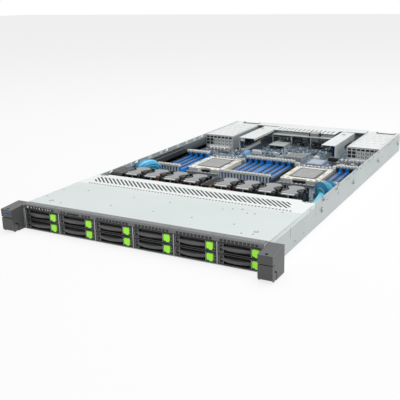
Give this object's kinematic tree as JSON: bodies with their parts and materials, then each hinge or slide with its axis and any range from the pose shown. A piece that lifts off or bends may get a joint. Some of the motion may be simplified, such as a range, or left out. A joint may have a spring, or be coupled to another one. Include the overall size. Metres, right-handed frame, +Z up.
{
  "type": "1u rack server",
  "caption": "Low rack server with sliding drive trays in front, open rear half with fans, memory sockets, risers and two pull-out power supplies.",
  "frame": {"origin": "middle of the outline box at the bottom face of the pan", "axes": "+Z up, -Y out of the drive front, +Y out of the rear, +X to the right seen from the front"},
  "size_m": [0.4826, 0.869, 0.0435],
  "materials": {
    "zinc_steel": "bare zinc plated sheet",
    "cover_steel": "satin zinc plated sheet",
    "cage_steel": "bare zinc plated sheet",
    "ear_plastic": "fine matte grain",
    "tray_plastic": "fine matte grain",
    "lever_plastic": "satin",
    "release_green": "satin translucent",
    "fan_plastic": "moulded",
    "rotor_plastic": "moulded",
    "circuit_board": "solder mask over fibre board",
    "memory_plastic": "moulded",
    "socket_frame": "moulded",
    "riser_steel": "bare zinc plated sheet",
    "supply_case": "satin",
    "cable_sleeve": "ribbon insulation",
    "panel_plastic": "satin"
  },
  "bodies": {
    "root": {"chassis_tray": "zinc_steel", "front_cover": "cover_steel", "drive_cage": "cage_steel", "rack_ears": "ear_plastic", "backplane": "circuit_board", "fan_housings": "fan_plastic", "motherboard": "circuit_board", "memory_slots": "memory_plastic", "cpu_sockets": "socket_frame", "riser_cages": "riser_steel", "cables": "cable_sleeve"},
    "tray_01": {"drive_tray_01": "tray_plastic"},
    "lever_01": {"tray_lever_01": "lever_plastic"},
    "button_01": {"release_button_01": "release_green"},
    "tray_02": {"drive_tray_02": "tray_plastic"},
    "lever_02": {"tray_lever_02": "lever_plastic"},
    "button_02": {"release_button_02": "release_green"},
    "tray_03": {"drive_tray_03": "tray_plastic"},
    "lever_03": {"tray_lever_03": "lever_plastic"},
    "button_03": {"release_button_03": "release_green"},
    "tray_04": {"drive_tray_04": "tray_plastic"},
    "lever_04": {"tray_lever_04": "lever_plastic"},
    "button_04": {"release_button_04": "release_green"},
    "tray_05": {"drive_tray_05": "tray_plastic"},
    "lever_05": {"tray_lever_05": "lever_plastic"},
    "button_05": {"release_button_05": "release_green"},
    "tray_06": {"drive_tray_06": "tray_plastic"},
    "lever_06": {"tray_lever_06": "lever_plastic"},
    "button_06": {"release_button_06": "release_green"},
    "tray_07": {"drive_tray_07": "tray_plastic"},
    "lever_07": {"tray_lever_07": "lever_plastic"},
    "button_07": {"release_button_07": "release_green"},
    "tray_08": {"drive_tray_08": "tray_plastic"},
    "lever_08": {"tray_lever_08": "lever_plastic"},
    "button_08": {"release_button_08": "release_green"},
    "tray_09": {"drive_tray_09": "tray_plastic"},
    "lever_09": {"tray_lever_09": "lever_plastic"},
    "button_09": {"release_button_09": "release_green"},
    "tray_10": {"drive_tray_10": "tray_plastic"},
    "lever_10": {"tray_lever_10": "lever_plastic"},
    "button_10": {"release_button_10": "release_green"},
    "tray_11": {"drive_tray_11": "tray_plastic"},
    "lever_11": {"tray_lever_11": "lever_plastic"},
    "button_11": {"release_button_11": "release_green"},
    "tray_12": {"drive_tray_12": "tray_plastic"},
    "lever_12": {"tray_lever_12": "lever_plastic"},
    "button_12": {"release_button_12": "release_green"},
    "rotor_1": {"fan_rotor_1": "rotor_plastic"},
    "rotor_2": {"fan_rotor_2": "rotor_plastic"},
    "rotor_3": {"fan_rotor_3": "rotor_plastic"},
    "rotor_4": {"fan_rotor_4": "rotor_plastic"},
    "rotor_5": {"fan_rotor_5": "rotor_plastic"},
    "rotor_6": {"fan_rotor_6": "rotor_plastic"},
    "rotor_7": {"fan_rotor_7": "rotor_plastic"},
    "rotor_8": {"fan_rotor_8": "rotor_plastic"},
    "door_left": {"ear_door_left": "ear_plastic"},
    "door_right": {"ear_door_right": "ear_plastic"},
    "supply_left": {"psu_left": "supply_case"},
    "supply_right": {"psu_right": "supply_case"},
    "power_button": {"power_button": "panel_plastic"}
  },
  "joints": [
    {"name": "tray_slide_01", "type": "slide", "parent": "root", "child": "tray_01", "axis": [0, -1, 0], "range_m": [0, 0.115]},
    {"name": "lever_hinge_01", "type": "hinge", "parent": "tray_01", "child": "lever_01", "pos_m": [-0.2088, -0.4042, 0.00955], "axis": [0, 0, -1], "range_deg": [0, 60]},
    {"name": "button_press_01", "type": "slide", "parent": "tray_01", "child": "button_01", "axis": [0, 1, 0], "range_m": [0, 0.0015], "stiffness_N_per_m": 400},
    {"name": "tray_slide_02", "type": "slide", "parent": "root", "child": "tray_02", "axis": [0, -1, 0], "range_m": [0, 0.115]},
    {"name": "lever_hinge_02", "type": "hinge", "parent": "tray_02", "child": "lever_02", "pos_m": [-0.1368, -0.4042, 0.00955], "axis": [0, 0, -1], "range_deg": [0, 60]},
    {"name": "button_press_02", "type": "slide", "parent": "tray_02", "child": "button_02", "axis": [0, 1, 0], "range_m": [0, 0.0015], "stiffness_N_per_m": 400},
    {"name": "tray_slide_03", "type": "slide", "parent": "root", "child": "tray_03", "axis": [0, -1, 0], "range_m": [0, 0.115]},
    {"name": "lever_hinge_03", "type": "hinge", "parent": "tray_03", "child": "lever_03", "pos_m": [-0.0648, -0.4042, 0.00955], "axis": [0, 0, -1], "range_deg": [0, 60]},
    {"name": "button_press_03", "type": "slide", "parent": "tray_03", "child": "button_03", "axis": [0, 1, 0], "range_m": [0, 0.0015], "stiffness_N_per_m": 400},
    {"name": "tray_slide_04", "type": "slide", "parent": "root", "child": "tray_04", "axis": [0, -1, 0], "range_m": [0, 0.115]},
    {"name": "lever_hinge_04", "type": "hinge", "parent": "tray_04", "child": "lever_04", "pos_m": [0.0072, -0.4042, 0.00955], "axis": [0, 0, -1], "range_deg": [0, 60]},
    {"name": "button_press_04", "type": "slide", "parent": "tray_04", "child": "button_04", "axis": [0, 1, 0], "range_m": [0, 0.0015], "stiffness_N_per_m": 400},
    {"name": "tray_slide_05", "type": "slide", "parent": "root", "child": "tray_05", "axis": [0, -1, 0], "range_m": [0, 0.115]},
    {"name": "lever_hinge_05", "type": "hinge", "parent": "tray_05", "child": "lever_05", "pos_m": [0.0792, -0.4042, 0.00955], "axis": [0, 0, -1], "range_deg": [0, 60]},
    {"name": "button_press_05", "type": "slide", "parent": "tray_05", "child": "button_05", "axis": [0, 1, 0], "range_m": [0, 0.0015], "stiffness_N_per_m": 400},
    {"name": "tray_slide_06", "type": "slide", "parent": "root", "child": "tray_06", "axis": [0, -1, 0], "range_m": [0, 0.115]},
    {"name": "lever_hinge_06", "type": "hinge", "parent": "tray_06", "child": "lever_06", "pos_m": [0.1512, -0.4042, 0.00955], "axis": [0, 0, -1], "range_deg": [0, 60]},
    {"name": "button_press_06", "type": "slide", "parent": "tray_06", "child": "button_06", "axis": [0, 1, 0], "range_m": [0, 0.0015], "stiffness_N_per_m": 400},
    {"name": "tray_slide_07", "type": "slide", "parent": "root", "child": "tray_07", "axis": [0, -1, 0], "range_m": [0, 0.115]},
    {"name": "lever_hinge_07", "type": "hinge", "parent": "tray_07", "child": "lever_07", "pos_m": [-0.2088, -0.4042, 0.02695], "axis": [0, 0, -1], "range_deg": [0, 60]},
    {"name": "button_press_07", "type": "slide", "parent": "tray_07", "child": "button_07", "axis": [0, 1, 0], "range_m": [0, 0.0015], "stiffness_N_per_m": 400},
    {"name": "tray_slide_08", "type": "slide", "parent": "root", "child": "tray_08", "axis": [0, -1, 0], "range_m": [0, 0.115]},
    {"name": "lever_hinge_08", "type": "hinge", "parent": "tray_08", "child": "lever_08", "pos_m": [-0.1368, -0.4042, 0.02695], "axis": [0, 0, -1], "range_deg": [0, 60]},
    {"name": "button_press_08", "type": "slide", "parent": "tray_08", "child": "button_08", "axis": [0, 1, 0], "range_m": [0, 0.0015], "stiffness_N_per_m": 400},
    {"name": "tray_slide_09", "type": "slide", "parent": "root", "child": "tray_09", "axis": [0, -1, 0], "range_m": [0, 0.115]},
    {"name": "lever_hinge_09", "type": "hinge", "parent": "tray_09", "child": "lever_09", "pos_m": [-0.0648, -0.4042, 0.02695], "axis": [0, 0, -1], "range_deg": [0, 60]},
    {"name": "button_press_09", "type": "slide", "parent": "tray_09", "child": "button_09", "axis": [0, 1, 0], "range_m": [0, 0.0015], "stiffness_N_per_m": 400},
    {"name": "tray_slide_10", "type": "slide", "parent": "root", "child": "tray_10", "axis": [0, -1, 0], "range_m": [0, 0.115]},
    {"name": "lever_hinge_10", "type": "hinge", "parent": "tray_10", "child": "lever_10", "pos_m": [0.0072, -0.4042, 0.02695], "axis": [0, 0, -1], "range_deg": [0, 60]},
    {"name": "button_press_10", "type": "slide", "parent": "tray_10", "child": "button_10", "axis": [0, 1, 0], "range_m": [0, 0.0015], "stiffness_N_per_m": 400},
    {"name": "tray_slide_11", "type": "slide", "parent": "root", "child": "tray_11", "axis": [0, -1, 0], "range_m": [0, 0.115]},
    {"name": "lever_hinge_11", "type": "hinge", "parent": "tray_11", "child": "lever_11", "pos_m": [0.0792, -0.4042, 0.02695], "axis": [0, 0, -1], "range_deg": [0, 60]},
    {"name": "button_press_11", "type": "slide", "parent": "tray_11", "child": "button_11", "axis": [0, 1, 0], "range_m": [0, 0.0015], "stiffness_N_per_m": 400},
    {"name": "tray_slide_12", "type": "slide", "parent": "root", "child": "tray_12", "axis": [0, -1, 0], "range_m": [0, 0.115]},
    {"name": "lever_hinge_12", "type": "hinge", "parent": "tray_12", "child": "lever_12", "pos_m": [0.1512, -0.4042, 0.02695], "axis": [0, 0, -1], "range_deg": [0, 60]},
    {"name": "button_press_12", "type": "slide", "parent": "tray_12", "child": "button_12", "axis": [0, 1, 0], "range_m": [0, 0.0015], "stiffness_N_per_m": 400},
    {"name": "rotor_spin_1", "type": "hinge", "parent": "root", "child": "rotor_1", "pos_m": [-0.166, -0.1635, 0.0212], "axis": [0, 1, 0], "continuous": true},
    {"name": "rotor_spin_2", "type": "hinge", "parent": "root", "child": "rotor_2", "pos_m": [-0.123, -0.1635, 0.0212], "axis": [0, 1, 0], "continuous": true},
    {"name": "rotor_spin_3", "type": "hinge", "parent": "root", "child": "rotor_3", "pos_m": [-0.08, -0.1635, 0.0212], "axis": [0, 1, 0], "continuous": true},
    {"name": "rotor_spin_4", "type": "hinge", "parent": "root", "child": "rotor_4", "pos_m": [-0.037, -0.1635, 0.0212], "axis": [0, 1, 0], "continuous": true},
    {"name": "rotor_spin_5", "type": "hinge", "parent": "root", "child": "rotor_5", "pos_m": [0.028, -0.1635, 0.0212], "axis": [0, 1, 0], "continuous": true},
    {"name": "rotor_spin_6", "type": "hinge", "parent": "root", "child": "rotor_6", "pos_m": [0.071, -0.1635, 0.0212], "axis": [0, 1, 0], "continuous": true},
    {"name": "rotor_spin_7", "type": "hinge", "parent": "root", "child": "rotor_7", "pos_m": [0.114, -0.1635, 0.0212], "axis": [0, 1, 0], "continuous": true},
    {"name": "rotor_spin_8", "type": "hinge", "parent": "root", "child": "rotor_8", "pos_m": [0.157, -0.1635, 0.0212], "axis": [0, 1, 0], "continuous": true},
    {"name": "door_hinge_left", "type": "hinge", "parent": "root", "child": "door_left", "pos_m": [-0.23015, -0.4273, 0.0074], "axis": [1, 0, 0], "range_deg": [0, 85]},
    {"name": "door_hinge_right", "type": "hinge", "parent": "root", "child": "door_right", "pos_m": [0.23015, -0.4273, 0.0074], "axis": [1, 0, 0], "range_deg": [0, 85]},
    {"name": "supply_slide_left", "type": "slide", "parent": "root", "child": "supply_left", "axis": [0, 1, 0], "range_m": [0, 0.185]},
    {"name": "supply_slide_right", "type": "slide", "parent": "root", "child": "supply_right", "axis": [0, 1, 0], "range_m": [0, 0.185]},
    {"name": "power_press", "type": "slide", "parent": "root", "child": "power_button", "axis": [0, 1, 0], "range_m": [0, 0.001], "stiffness_N_per_m": 400}
  ]
}
